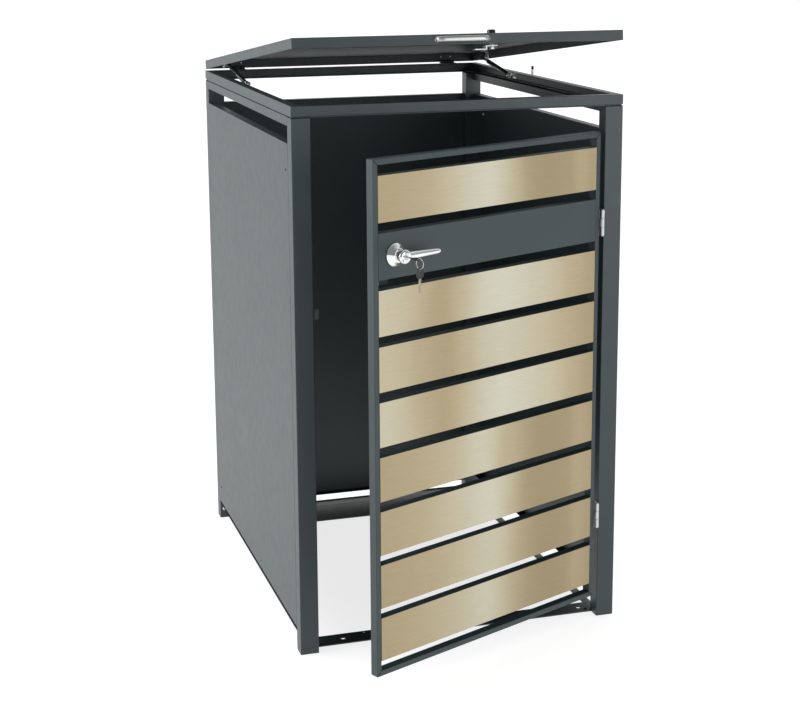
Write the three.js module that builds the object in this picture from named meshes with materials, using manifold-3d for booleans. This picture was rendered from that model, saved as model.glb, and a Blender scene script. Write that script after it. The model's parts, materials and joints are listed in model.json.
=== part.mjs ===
// Steel enclosure for one wheeled refuse bin: a post-and-panel housing on floor plates, a slatted
// door on two butt hinges at the right front post, and a lid on rear hinges with two gas struts.
// Millimetres. +X is right seen from the front, +Y runs to the back, +Z is up. The origin is the
// centre of the front floor plate's underside. The door and the lid are drawn partly open.
import * as THREE from "three";
import { mergeVertices } from "three/addons/utils/BufferGeometryUtils.js";
import Module from "manifold-3d";

const wasm = await Module();
wasm.setup();

// ---- Driving dimensions -------------------------------------------------------------------
const WIDTH = 724;
const DEPTH = 930;
const POST = { width: 40, depth: 35, height: 1150, wall: 1.5 };
const GAP = 0.3; // between pieces that touch
const SHEET = 1.2;
const FLANGE = 20;

const SIDE_PANEL = { bottom: 50, top: 1095 };
const BACK_PANEL = { bottom: 28, top: 1095 };
const UPPER_RAIL = { width: 20, height: 19 };
const TOP_FRAME = { width: 20, height: 21, wall: 2.5, footHeight: 3, footInset: 2 };

const FLOOR = { thickness: 3, plateWidth: 48, stripWidth: 19, setBack: 27 };
const REAR_PLATE = { width: 106, railWidth: 38 };
const ANCHOR_HOLE = { radius: 5.5, fromLeftPost: 67, fromRightPost: 22 };
const DRAIN_HOLE = { radius: 3.5, fromLeftPost: 119, fromCentre: 18 };

const DOOR = { width: 633, bottom: 51, height: 1045.5, depth: 20, face: 12, open: 24 };
const DOOR_PANEL = { slats: 9, lockSlat: 2, slatHeight: 91.5, wall: 1.5 };
const DOOR_HINGE = { radius: 4.5, length: 56, pin: 2.4, leaf: 1.5, leafDepth: 16, run: 5 };
const DOOR_HINGE_HEIGHTS = { lower: 241, upper: 901 };
const DOOR_STOP = { reach: 16, sheet: 2, length: 10, height: 26, centre: 740 };
const DOOR_PAD = { width: 10, thickness: 2 };

const LOCK = { fromFreeEdge: 55, rosette: 24, rosetteHeight: 14, hub: 11, shaft: 5 };
const LEVER = { length: 95, headRadius: 15, headBottom: 20, headTop: 33, root: 9, tip: 5 };
const CAM = { length: 65, width: 22, thickness: 3, behindFace: 37 };
const KEY = { blade: 28, bladeWidth: 5, bow: 22, bowWidth: 18, neck: 5, thickness: 2.4, hole: 4, rim: 2 };
const KEY_IN_LOCK = { stand: 16, plug: 10, plugRadius: 4.5 };
const KEY_RING = { radius: 10, wire: 0.8, lead: 0.6 };

const LID = { width: 716, length: 953, height: 21.5, front: 9, open: 6.75 };
const LID_HEM = { front: 12, side: 3 };
const LID_HINGE = { fromFront: 932, height: 1178.5, radius: 4, length: 38, pin: 2.2, offset: 280 };
const LID_LEAF = { thickness: 1.5, belowTop: 3 };
const LID_HANDLE = { length: 124, thickness: 12, rise: 16, grip: 5, foot: 12, bend: 24 };
const LID_LOCK = { x: 83, fromFront: 45, knob: 9, knobHeight: 10, spindle: 5, spindleEnd: 9 };
const LID_CAM = { reach: 40, crank: 14, tail: 10, halfWidth: 9, sheet: 2.5, drop: 4, step: 7 };
const REST_PIN = { x: 348, fromFront: 490, radius: 3, height: 23 };

const STRUT = { x: 328, fromFront: 588, height: 1168, radius: 5.5, rod: 2.5, bore: 3.2 };
const STRUT_LENGTHS = { bodyStart: 14, bodyEnd: 160, boreStart: 40, rodStart: 60 };
const STRUT_EYE = { radius: 7, width: 8, shankRadius: 3.5, shankStart: 4, shankLength: 14 };
const STRUT_LID = { fromHinge: 143, aboveHinge: 2, plateOffset: 12, halfLength: 10, below: 6, sheet: 2 };
const STRUT_FRAME = { sheet: 2, halfLength: 12, below: 8, headRadius: 5, headThickness: 2 };
const STUD = { radius: 3, reach: 6, clearance: 0.35 };

// ---- Places worked out from them ----------------------------------------------------------
const FRONT = -FLOOR.plateWidth / 2 - FLOOR.setBack; // y of the posts' front faces
const BACK = FRONT + DEPTH;
const SIDE = WIDTH / 2;
const OPENING = SIDE - POST.width; // half the clear width between the posts
const FRAME_TOP = POST.height + TOP_FRAME.footHeight + TOP_FRAME.height;
const HINGE_X = OPENING - DOOR_HINGE.radius; // the door's hinge line
const HINGE_Y = FRONT - DOOR_HINGE.radius;
const DOOR_TOP = DOOR.bottom + DOOR.height;
const DOOR_FRONT = DOOR_HINGE.radius; // in the door's own frame, measured from the hinge line
const DOOR_BACK = DOOR_FRONT + DOOR.depth;
const DOOR_RIGHT = -DOOR_HINGE.run;
const DOOR_LEFT = DOOR_RIGHT - DOOR.width;
const SLAT_GAP =
  (DOOR.height - 2 * DOOR.face - DOOR_PANEL.slats * DOOR_PANEL.slatHeight) / (DOOR_PANEL.slats + 1);
const slatBottom = (n) =>
  DOOR_TOP - DOOR.face - n * (SLAT_GAP + DOOR_PANEL.slatHeight);
const LOCK_X = DOOR_LEFT + LOCK.fromFreeEdge;
const LOCK_Z = slatBottom(DOOR_PANEL.lockSlat) + DOOR_PANEL.slatHeight / 2;
const LID_FRONT = -LID_HINGE.fromFront - LID.front; // in the lid's own frame, from its hinge line
const LID_BACK = LID_FRONT + LID.length;
const radians = THREE.MathUtils.degToRad;

// ---- Finishes -----------------------------------------------------------------------------
const FINISHES = {
  anthracite: [0x3b4448, 0.55, 0.2],
  champagne: [0xb9a57c, 0.35, 0.85],
  steel: [0xb8bcc0, 0.3, 1.0],
  chrome: [0xd8dadc, 0.08, 1.0],
  black: [0x15171a, 0.5, 0.0],
};

function finish(kind) {
  const [color, roughness, metalness] = FINISHES[kind];
  return new THREE.MeshStandardMaterial({ color, roughness, metalness });
}

// ---- Solids -------------------------------------------------------------------------------
function solid(geometry) {
  const bare = geometry.index ? geometry.toNonIndexed() : geometry.clone();
  bare.deleteAttribute("normal");
  bare.deleteAttribute("uv");
  const merged = mergeVertices(bare, 1e-4);
  return new wasm.Manifold(
    new wasm.Mesh({
      numProp: 3,
      vertProperties: merged.attributes.position.array,
      triVerts: new Uint32Array(merged.index.array),
    }),
  );
}

function geometryOf(manifold) {
  const made = manifold.getMesh();
  const geometry = new THREE.BufferGeometry();
  geometry.setAttribute("position", new THREE.BufferAttribute(made.vertProperties, 3));
  geometry.setIndex(new THREE.BufferAttribute(made.triVerts, 1));
  const flat = geometry.toNonIndexed();
  flat.computeVertexNormals();
  return flat;
}

const cut = (whole, ...tools) =>
  geometryOf(tools.reduce((left, tool) => left.subtract(solid(tool)), solid(whole)));
const join = (first, ...others) =>
  geometryOf(others.reduce((sum, other) => sum.add(solid(other)), solid(first)));

// A box between two corners.
function block(x0, x1, y0, y1, z0, z1) {
  const box = new THREE.BoxGeometry(x1 - x0, y1 - y0, z1 - z0);
  return box.translate((x0 + x1) / 2, (y0 + y1) / 2, (z0 + z1) / 2);
}

// A round bar along an axis, starting at a point.
function bar(radius, length, axis, x, y, z, sides = 16) {
  const round = new THREE.CylinderGeometry(radius, radius, length, sides);
  round.translate(0, length / 2, 0);
  if (axis === "x") round.rotateZ(-Math.PI / 2);
  if (axis === "z") round.rotateX(Math.PI / 2);
  return round.translate(x, y, z);
}

// A turned solid about the z axis from [radius, height] pairs that start and end on the axis.
function turned(profile, sides = 24) {
  const points = profile.map(([r, h]) => new THREE.Vector2(r, h));
  return new THREE.LatheGeometry(points, sides).rotateX(Math.PI / 2);
}

// A flat outline in the local xy plane given thickness along +z.
function plate(outline, thickness, ...holes) {
  const shape = new THREE.Shape(outline.map(([x, y]) => new THREE.Vector2(x, y)));
  holes.forEach(([x, y, r]) => shape.holes.push(new THREE.Path().absarc(x, y, r, 0, 2 * Math.PI)));
  const options = { depth: thickness, bevelEnabled: false, curveSegments: 8 };
  return new THREE.ExtrudeGeometry(shape, options);
}

function piece(parent, name, geometry, kind) {
  const mesh = new THREE.Mesh(geometry, finish(kind));
  mesh.name = name;
  parent.add(mesh);
  return mesh;
}

// ---- Housing ------------------------------------------------------------------------------
const enclosure = new THREE.Group();

function addPosts() {
  const { width, depth, height, wall } = POST;
  for (const [row, y] of [["front", FRONT], ["rear", BACK - depth]])
    for (const [hand, x] of [["left", -SIDE], ["right", SIDE - width]]) {
      const outer = block(x, x + width, y, y + depth, 0, height);
      const bore = block(x + wall, x + width - wall, y + wall, y + depth - wall, -1, height + 1);
      piece(enclosure, `post_${row}_${hand}`, cut(outer, bore), "anthracite");
    }
}

// A sheet with its four edges folded towards the inside of the housing.
function sidePanel(sign) {
  const y0 = FRONT + POST.depth + GAP;
  const y1 = BACK - POST.depth - GAP;
  const { bottom, top } = SIDE_PANEL;
  const xs = [sign * SIDE, sign * (SIDE - FLANGE)].sort((a, b) => a - b);
  const pocket = sign > 0 ? [xs[0] - 1, xs[1] - SHEET] : [xs[0] + SHEET, xs[1] + 1];
  return cut(
    block(...xs, y0, y1, bottom, top),
    block(...pocket, y0 + SHEET, y1 - SHEET, bottom + SHEET, top - SHEET),
  );
}

function backPanel() {
  const x = OPENING - GAP;
  const { bottom, top } = BACK_PANEL;
  return cut(
    block(-x, x, BACK - FLANGE, BACK, bottom, top),
    block(-x + SHEET, x - SHEET, BACK - FLANGE - 1, BACK - SHEET, bottom + SHEET, top - SHEET),
  );
}

function upperRail(sign) {
  const { width, height } = UPPER_RAIL;
  const x = sign > 0 ? SIDE - width : -SIDE;
  const y0 = FRONT + POST.depth + GAP;
  const y1 = BACK - POST.depth - GAP;
  const z = POST.height - height;
  const wall = POST.wall;
  return cut(
    block(x, x + width, y0, y1, z, z + height),
    block(x + wall, x + width - wall, y0 - 1, y1 + 1, z + wall, z + height - wall),
  );
}

// An angle-section frame on a set-back foot, which leaves a shadow line above the posts.
function topFrame() {
  const { width, wall, footHeight, footInset } = TOP_FRAME;
  const z0 = POST.height + GAP;
  const zWeb = POST.height + footHeight;
  const ring = (inset, low, high) =>
    block(-SIDE + inset, SIDE - inset, FRONT + inset, BACK - inset, low, high);
  const body = solid(ring(0, zWeb, FRAME_TOP))
    .subtract(solid(ring(wall, zWeb - 1, FRAME_TOP - wall)))
    .subtract(solid(ring(width, zWeb - 1, FRAME_TOP + 1)));
  const foot = solid(ring(footInset, z0, zWeb + 1)).subtract(
    solid(ring(footInset + wall, z0 - 1, zWeb + 2)),
  );
  return geometryOf(body.add(foot));
}

function addFloor() {
  const t = FLOOR.thickness;
  const half = FLOOR.plateWidth / 2;
  const inner = OPENING - GAP;
  const outer = OPENING + FLOOR.stripWidth;
  const hole = (x, y) => bar(ANCHOR_HOLE.radius, 3 * t, "z", x, y, -t);
  const front = cut(
    block(-inner, inner, -half, half, 0, t),
    hole(-OPENING + ANCHOR_HOLE.fromLeftPost, 0),
    hole(OPENING - ANCHOR_HOLE.fromRightPost, 0),
    bar(DRAIN_HOLE.radius, 3 * t, "z", -OPENING + DRAIN_HOLE.fromLeftPost, DRAIN_HOLE.fromCentre, -t),
  );
  piece(enclosure, "floor_plate_front", front, "anthracite");

  const railFront = BACK - REAR_PLATE.railWidth;
  const rear = cut(
    block(-inner, inner, railFront - GAP - REAR_PLATE.width, railFront - GAP, 0, t),
    hole(-inner / 2, railFront - REAR_PLATE.width / 2),
    hole(inner / 2, railFront - REAR_PLATE.width / 2),
  );
  piece(enclosure, "floor_plate_rear", rear, "anthracite");
  const lip = block(-inner, inner, BACK - 2, BACK, t - 1, 2 * t);
  const rail = join(block(-inner, inner, railFront, BACK, 0, t), lip);
  piece(enclosure, "floor_rail_rear", rail, "anthracite");

  const y0 = FRONT + POST.depth + GAP;
  const y1 = BACK - POST.depth - GAP;
  for (const [hand, x] of [["left", -outer], ["right", OPENING]]) {
    const strip = block(x, x + FLOOR.stripWidth, y0, y1, 0, t);
    piece(enclosure, `floor_strip_${hand}`, strip, "anthracite");
  }
}

// The small angle inside the left post that the closed door rests against, and its pad.
function addDoorStop() {
  const { reach, sheet, length, height, centre } = DOOR_STOP;
  const { width, thickness } = DOOR_PAD;
  const x = -OPENING + GAP;
  const y = FRONT + DOOR.depth + thickness + 2 * GAP;
  const low = centre - height / 2;
  const angle = join(
    block(x, x + reach, y, y + sheet, low, low + height),
    block(x, x + sheet, y, y + length, low, low + height),
  );
  piece(enclosure, "door_stop", angle, "steel");
  const padX = x + reach - width;
  const pad = block(padX, padX + width, y - GAP - thickness, y - GAP, low + 2, low + height - 2);
  piece(enclosure, "door_stop_pad", pad, "black");
}

// ---- Door ---------------------------------------------------------------------------------
const door = new THREE.Group();
door.position.set(HINGE_X, HINGE_Y, 0);
door.rotation.z = radians(DOOR.open);
enclosure.add(door);

// One mitred member of the door's frame: an outline in x and z, as deep as the door.
function doorMember(outline) {
  const flat = plate(outline, DOOR.depth);
  return flat.rotateX(Math.PI / 2).translate(0, DOOR_BACK, 0);
}

function addDoorFrame() {
  const f = DOOR.face;
  const g = GAP / 2;
  const corner = [
    [DOOR_LEFT, DOOR.bottom, 1, 1],
    [DOOR_RIGHT, DOOR.bottom, -1, 1],
    [DOOR_RIGHT, DOOR_TOP, -1, -1],
    [DOOR_LEFT, DOOR_TOP, 1, -1],
  ];
  const names = ["door_rail_bottom", "door_stile_hinge", "door_rail_top", "door_stile_free"];
  corner.forEach(([x0, z0, sx0, sz0], i) => {
    const [x1, z1, sx1, sz1] = corner[(i + 1) % 4];
    const flat = i % 2 === 0; // rails run along x, stiles along z
    const along = (sx, sz) => (flat ? [g * sx, 0] : [0, g * sz]);
    const [ax, az] = along(sx0, sz0);
    const [bx, bz] = along(sx1, sz1);
    const outline = [
      [x0 + ax, z0 + az],
      [x1 + bx, z1 + bz],
      [x1 + f * sx1 + bx, z1 + f * sz1 + bz],
      [x0 + f * sx0 + ax, z0 + f * sz0 + az],
    ];
    piece(door, names[i], doorMember(outline), "anthracite");
  });
}

// A slat is a channel that is open at the back.
function slat(n) {
  const x0 = DOOR_LEFT + DOOR.face + GAP;
  const x1 = DOOR_RIGHT - DOOR.face - GAP;
  const z0 = slatBottom(n);
  const z1 = z0 + DOOR_PANEL.slatHeight;
  const w = DOOR_PANEL.wall;
  return cut(
    block(x0, x1, DOOR_FRONT, DOOR_BACK, z0, z1),
    block(x0 - 1, x1 + 1, DOOR_FRONT + w, DOOR_BACK + 1, z0 + w, z1 - w),
  );
}

function addSlats() {
  for (let n = 1; n <= DOOR_PANEL.slats; n += 1) {
    if (n === DOOR_PANEL.lockSlat) {
      const shaftHole = bar(LOCK.shaft + 1, DOOR.depth, "y", LOCK_X, DOOR_FRONT - 1, LOCK_Z);
      piece(door, "lock_slat", cut(slat(n), shaftHole), "anthracite");
    } else {
      piece(door, `slat_${n}`, slat(n), "champagne");
    }
  }
}

// A butt hinge's knuckles between pairs of places along its pin.
function knuckles(radius, spans, axis) {
  return spans.map(([low, high]) => {
    const start = axis === "z" ? [0, 0, low] : [low, 0, 0];
    return bar(radius, high - low, axis, ...start);
  });
}

function addDoorHinge(level, height) {
  const { radius, length, pin, leaf, leafDepth } = DOOR_HINGE;
  const low = height - length / 2;
  const third = length / 3;
  const [k0, k1, k2, k3] = [0, 1, 2, 3].map((i) => low + i * third);
  const postFace = radius - GAP; // the post's inner face, seen from the hinge line
  const leafRoom = block(-radius, postFace + 1, -radius, radius + 1, k1 - GAP, k2 + GAP);
  const fixed = join(
    bar(pin, length, "z", 0, 0, low),
    ...knuckles(radius - GAP, [[k0, k1 - GAP], [k2 + GAP, k3]], "z"),
    cut(block(postFace - leaf, postFace, 0, leafDepth, low, low + length), leafRoom),
  );
  const onPost = piece(enclosure, `door_hinge_${level}_post`, fixed, "steel");
  onPost.position.set(HINGE_X, HINGE_Y, 0);

  const doorLeaf = block(DOOR_RIGHT + GAP, DOOR_RIGHT + GAP + leaf, 0, leafDepth, low, low + length);
  const web = block(DOOR_RIGHT + GAP, 0, -leaf / 2, leaf / 2, k1 + GAP, k2 - GAP);
  const middle = bar(radius - GAP, third - 2 * GAP, "z", 0, 0, k1 + GAP);
  const trim = [[low - 1, k1 + GAP], [k2 - GAP, low + length + 1]].map(([a, b]) =>
    block(DOOR_RIGHT, radius, -radius, radius + 1, a, b),
  );
  const moving = [...trim, bar(pin + STUD.clearance, length, "z", 0, 0, low)]
    .reduce((left, tool) => left.subtract(solid(tool)), solid(join(doorLeaf, web, middle)));
  piece(door, `door_hinge_${level}_leaf`, geometryOf(moving), "steel");
}

// ---- Lock ---------------------------------------------------------------------------------
// The lock's frame has its origin on the door's face, x across the door and z out of it.
const lock = new THREE.Group();
lock.position.set(LOCK_X, DOOR_FRONT, LOCK_Z);
lock.rotation.x = Math.PI / 2;
door.add(lock);

function addLock() {
  const { rosette, rosetteHeight, hub, shaft } = LOCK;
  const cone = turned([
    [0, GAP],
    [rosette, GAP],
    [rosette, 2],
    [rosette - 4, 6],
    [hub + 4, rosetteHeight - 2],
    [hub + 2, rosetteHeight],
    [0, rosetteHeight],
  ]);
  const shaftRoom = bar(shaft + STUD.clearance, 40, "z", 0, 0, -10);
  piece(lock, "lock_rosette", cut(cone, shaftRoom), "chrome");

  const { length, headRadius, headBottom, headTop, root, tip } = LEVER;
  const grip = new THREE.CylinderGeometry(tip, root, length, 16);
  grip.scale(1, 1, 0.7).translate(0, length / 2, 0).rotateZ(-Math.PI / 2);
  grip.translate(0, 0, (headBottom + headTop) / 2);
  const base = rosetteHeight + GAP;
  const head = turned([
    [0, base],
    [hub, base],
    [hub, headBottom],
    [headRadius, headBottom + 3],
    [headRadius, headTop - 4],
    [headRadius - 4, headTop],
    [0, headTop],
  ]);
  const behind = CAM.behindFace + CAM.thickness;
  const spindle = bar(shaft, behind + base + 1, "z", 0, 0, -behind);
  const { plug, plugRadius } = KEY_IN_LOCK;
  const plugRoom = bar(plugRadius + GAP, headTop, "z", 0, 0, headTop - plug - GAP);
  piece(lock, "lock_lever", cut(join(grip, head, spindle), plugRoom), "chrome");

  const r = CAM.width / 2;
  const outline = new THREE.Shape();
  outline.absarc(0, 0, r, 0, Math.PI);
  outline.lineTo(-r, -CAM.length);
  outline.lineTo(r, -CAM.length);
  const eye = new THREE.Path().absarc(0, 0, shaft + GAP, 0, 2 * Math.PI);
  outline.holes.push(eye);
  const options = { depth: CAM.thickness, bevelEnabled: false, curveSegments: 10 };
  const cam = new THREE.ExtrudeGeometry(outline, options);
  piece(lock, "lock_cam", cam.translate(0, 0, -behind), "steel");
}

// A key in the local xz plane: the blade runs down -z from the origin and the bow stands above.
function keyGeometry(blade) {
  const { bladeWidth, bow, bowWidth, neck, thickness, hole, rim } = KEY;
  const half = bladeWidth / 2;
  const r = bowWidth / 2;
  const shape = new THREE.Shape();
  shape.moveTo(-half, -blade);
  shape.lineTo(half, -blade);
  shape.lineTo(half, 0);
  shape.lineTo(r, neck);
  shape.absarc(0, bow - r, r, 0, Math.PI);
  shape.lineTo(-r, neck);
  shape.lineTo(-half, 0);
  shape.holes.push(new THREE.Path().absarc(0, bow - hole - rim, hole, 0, 2 * Math.PI));
  const options = { depth: thickness, bevelEnabled: false, curveSegments: 16 };
  const flat = new THREE.ExtrudeGeometry(shape, options);
  return flat.translate(0, 0, -thickness / 2).rotateX(Math.PI / 2);
}

// The key in the lock lies flat, the ring hangs round its rim, and the spare key hangs in the ring.
function addKeys() {
  const { stand, plug, plugRadius } = KEY_IN_LOCK;
  const { headTop } = LEVER;
  const shoulder = headTop + stand;
  const barrel = bar(plugRadius, plug, "z", 0, 0, headTop - plug);
  const key = keyGeometry(stand + plug - KEY.rim).translate(0, 0, shoulder);
  piece(lock, "lock_key", join(barrel, key), "black");

  const { radius, wire, lead } = KEY_RING;
  const ringY = KEY.thickness / 2 + GAP + wire - radius;
  const ringZ = shoulder + KEY.bow - KEY.rim / 2 + lead;
  const section = [];
  for (let i = 0; i <= 6; i += 1) {
    const angle = (i * Math.PI) / 3;
    section.push([radius + wire * Math.cos(angle), wire * Math.sin(angle)]);
  }
  const ring = turned(section, 36).rotateY(Math.PI / 2).translate(0, ringY, ringZ);
  piece(lock, "key_ring", ring, "steel");

  const wireInHole = KEY.hole - wire - GAP; // from the middle of the spare key's hole up to the wire
  const bowHole = KEY.bow - KEY.hole - KEY.rim;
  const spare = keyGeometry(KEY.blade).rotateX(-Math.PI / 2);
  spare.translate(0, ringY - radius - wireInHole - bowHole, ringZ);
  piece(lock, "spare_key", spare, "black");
}

// ---- Lid ----------------------------------------------------------------------------------
const lid = new THREE.Group();
lid.position.set(0, FRONT + LID_HINGE.fromFront, LID_HINGE.height);
lid.rotation.x = -radians(LID.open);
enclosure.add(lid);

function lidPan() {
  const x = LID.width / 2;
  const z0 = -0.5;
  const z1 = z0 + LID.height;
  const back = LID_BACK - SHEET;
  const front = LID_FRONT + SHEET;
  const pocket = block(-x + SHEET, x - SHEET, front, back, z0 + SHEET, z1 - SHEET);
  const side = x - LID_HEM.side;
  const mouth = block(-side, side, LID_FRONT + LID_HEM.front, back, z0 - 1, z0 + 2 * SHEET);
  const lockY = -LID_HINGE.fromFront + LID_LOCK.fromFront;
  const spindleHole = bar(LID_LOCK.spindle + GAP, 4 * SHEET, "z", LID_LOCK.x, lockY, z1 - 3 * SHEET);
  return cut(block(-x, x, LID_FRONT, LID_BACK, z0, z1), pocket, mouth, spindleHole);
}

// A bow handle on the lid's front skirt.
function lidHandle() {
  const { length, thickness, rise, grip, foot, bend } = LID_HANDLE;
  const half = length / 2;
  const inner = half - foot;
  const under = rise - grip;
  const shape = new THREE.Shape();
  shape.moveTo(-half, 0);
  shape.quadraticCurveTo(-half, -rise, bend - half, -rise);
  shape.lineTo(half - bend, -rise);
  shape.quadraticCurveTo(half, -rise, half, 0);
  shape.lineTo(inner, 0);
  shape.quadraticCurveTo(inner, -under, half - bend, -under);
  shape.lineTo(bend - half, -under);
  shape.quadraticCurveTo(-inner, -under, -inner, 0);
  const options = { depth: thickness, bevelEnabled: false, curveSegments: 8 };
  const bow = new THREE.ExtrudeGeometry(shape, options);
  return bow.translate(0, LID_FRONT - GAP, (LID.height - thickness) / 2);
}

// The lid's turn lock: a knob on top, its spindle, and a cranked cam that hooks under the frame.
function addLidLock() {
  const { x, fromFront, knob, knobHeight, spindle, spindleEnd } = LID_LOCK;
  const top = LID.height - 0.5;
  const y = -LID_HINGE.fromFront + fromFront;
  const knobBody = turned([
    [0, GAP],
    [knob, GAP],
    [knob, knobHeight - 2],
    [knob - 2, knobHeight],
    [0, knobHeight],
  ], 16).translate(x, y, top);
  const shaft = bar(spindle, top + 1 + spindleEnd, "z", x, y, -spindleEnd);
  piece(lid, "lid_lock_knob", join(knobBody, shaft), "black");

  const { reach, crank, tail, halfWidth, sheet, drop, step } = LID_CAM;
  const [y0, y1] = [y - halfWidth, y + halfWidth];
  const low = -drop - step + sheet;
  const bend = x - crank;
  const arm = join(
    block(bend, x + tail, y0, y1, -drop, sheet - drop),
    block(bend - sheet, bend + 1, y0, y1, low - sheet, sheet - drop),
    block(x - reach, bend, y0, y1, low - sheet, low),
  );
  const eye = bar(spindle + GAP, 4 * sheet, "z", x, y, -drop - sheet);
  piece(lid, "lid_lock_cam", cut(arm, eye), "steel");
}

function addLidHinge(hand, sign) {
  const { radius, length, pin, offset, fromFront, height } = LID_HINGE;
  const t = LID_LEAF.thickness;
  const x0 = sign * offset - length / 2;
  const third = length / 3;
  const [k0, k1, k2, k3] = [0, 1, 2, 3].map((i) => x0 + i * third);
  const leafZ = FRAME_TOP + GAP - height; // the frame's top face, seen from the hinge line
  const leafY = BACK - TOP_FRAME.width - (FRONT + fromFront);
  const fixed = join(
    bar(pin, length, "x", x0, 0, 0),
    ...knuckles(radius, [[k0, k1 - GAP], [k2 + GAP, k3]], "x"),
    block(k0, k1 - GAP, leafY, 0, leafZ, leafZ + t),
    block(k2 + GAP, k3, leafY, 0, leafZ, leafZ + t),
    block(k0, k3, leafY, -radius - t, leafZ, leafZ + t),
  );
  const base = piece(enclosure, `lid_hinge_${hand}_base`, fixed, "steel");
  base.position.set(0, FRONT + fromFront, height);

  const rear = LID_BACK - SHEET - GAP;
  const leaf = join(
    block(x0, x0 + length, rear - t, rear, radius + 1, LID.height - LID_LEAF.belowTop),
    block(k1 + GAP, k2 - GAP, rear - t, rear, 0, radius + 2),
    block(k1 + GAP, k2 - GAP, 0, rear, -t / 2, t / 2),
    bar(radius, third - 2 * GAP, "x", k1 + GAP, 0, 0),
  );
  const bore = bar(pin + STUD.clearance, length, "x", x0, 0, 0);
  piece(lid, `lid_hinge_${hand}_leaf`, cut(leaf, bore), "steel");
}

// ---- Gas struts ---------------------------------------------------------------------------
// An eye at the origin for a stud along x, with a shank that runs along +y.
function strutEye() {
  const { radius, width, shankRadius, shankStart, shankLength } = STRUT_EYE;
  const ring = bar(radius, width, "x", -width / 2, 0, 0);
  const shank = bar(shankRadius, shankLength, "y", 0, shankStart, 0);
  const bore = bar(STUD.radius + STUD.clearance, 2 * width, "x", -width, 0, 0);
  return cut(join(ring, shank), bore);
}

// The frame's bracket: a plate on the rail's inner edge and the headed stud that the eye turns on.
function frameBracket() {
  const { sheet, halfLength, below, headRadius, headThickness } = STRUT_FRAME;
  const outer = SIDE - TOP_FRAME.width - GAP;
  const inner = outer - sheet;
  const start = STRUT.x - STUD.reach;
  const top = FRAME_TOP - STRUT.height - 1;
  return join(
    bar(STUD.radius, inner + 1 - start, "x", start, 0, 0),
    bar(headRadius, headThickness, "x", start - 1, 0, 0),
    block(inner, outer, -halfLength, halfLength, -below, top),
  );
}

// The lid's bracket: its stud stops short of the rod's eye, which leaves that pivot open.
function lidBracket() {
  const { plateOffset, halfLength, below, sheet } = STRUT_LID;
  const x = STRUT.x + plateOffset;
  const top = LID.height - 0.5 - SHEET - GAP - STRUT_LID.aboveHinge;
  return join(
    bar(STUD.radius, plateOffset - STUD.reach + 1, "x", STRUT.x + STUD.reach, 0, 0),
    block(x, x + sheet, -halfLength, halfLength, -below, top),
    block(x - plateOffset, x + sheet, -halfLength, halfLength, top - sheet, top),
  );
}

function addStrut(hand, sign) {
  const lower = new THREE.Vector3(sign * STRUT.x, FRONT + STRUT.fromFront, STRUT.height);
  const upper = new THREE.Vector3(0, -STRUT_LID.fromHinge, STRUT_LID.aboveHinge);
  upper.applyEuler(lid.rotation).add(lid.position);
  const span = Math.hypot(upper.y - lower.y, upper.z - lower.z);
  const strut = new THREE.Group();
  strut.position.copy(lower);
  strut.rotation.x = Math.atan2(upper.z - lower.z, upper.y - lower.y);
  enclosure.add(strut);

  const { bodyStart, bodyEnd, boreStart, rodStart } = STRUT_LENGTHS;
  const tube = join(strutEye(), bar(STRUT.radius, bodyEnd - bodyStart, "y", 0, bodyStart, 0));
  const bore = bar(STRUT.bore, bodyEnd, "y", 0, boreStart, 0);
  piece(strut, `strut_${hand}_cylinder`, cut(tube, bore), "black");
  const eye = strutEye().rotateZ(Math.PI).translate(0, span, 0);
  const rodLength = span - rodStart - STRUT_EYE.shankLength;
  const rod = join(bar(STRUT.rod, rodLength, "y", 0, rodStart, 0), eye);
  piece(strut, `strut_${hand}_rod`, rod, "steel");

  const onFrame = sign > 0 ? frameBracket() : frameBracket().rotateZ(Math.PI);
  const fixed = piece(enclosure, `strut_${hand}_bracket`, onFrame, "steel");
  fixed.position.set(0, lower.y, lower.z);
  const onLid = sign > 0 ? lidBracket() : lidBracket().rotateZ(Math.PI);
  const hanger = piece(lid, `strut_${hand}_lid_bracket`, onLid, "steel");
  hanger.position.set(0, -STRUT_LID.fromHinge, STRUT_LID.aboveHinge);
}

function addRestPin() {
  const { x, fromFront, radius, height } = REST_PIN;
  const pin = bar(radius, height, "z", x, FRONT + fromFront, FRAME_TOP + GAP, 12);
  piece(enclosure, "lid_rest_pin", pin, "black");
}

addPosts();
piece(enclosure, "side_panel_left", sidePanel(-1), "anthracite");
piece(enclosure, "side_panel_right", sidePanel(1), "anthracite");
piece(enclosure, "back_panel", backPanel(), "anthracite");
piece(enclosure, "upper_rail_left", upperRail(-1), "anthracite");
piece(enclosure, "upper_rail_right", upperRail(1), "anthracite");
piece(enclosure, "top_frame", topFrame(), "anthracite");
addFloor();
addDoorStop();
addDoorFrame();
addSlats();
for (const [level, height] of Object.entries(DOOR_HINGE_HEIGHTS)) addDoorHinge(level, height);
addLock();
addKeys();
piece(lid, "lid_pan", lidPan(), "anthracite");
piece(lid, "lid_handle", lidHandle(), "steel");
addLidLock();
for (const [hand, sign] of [["left", -1], ["right", 1]]) {
  addLidHinge(hand, sign);
  addStrut(hand, sign);
}
addRestPin();

export default enclosure;
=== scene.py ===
"""Looks for a steel enclosure for one wheeled refuse bin: powder-coated housing and lid, a door of
champagne-toned slats, a lever lock with its keys, and two gas struts. Metres, in the CAD's frame."""

import json
import math

import bmesh
import bpy
from mathutils import Matrix, Vector


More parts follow.
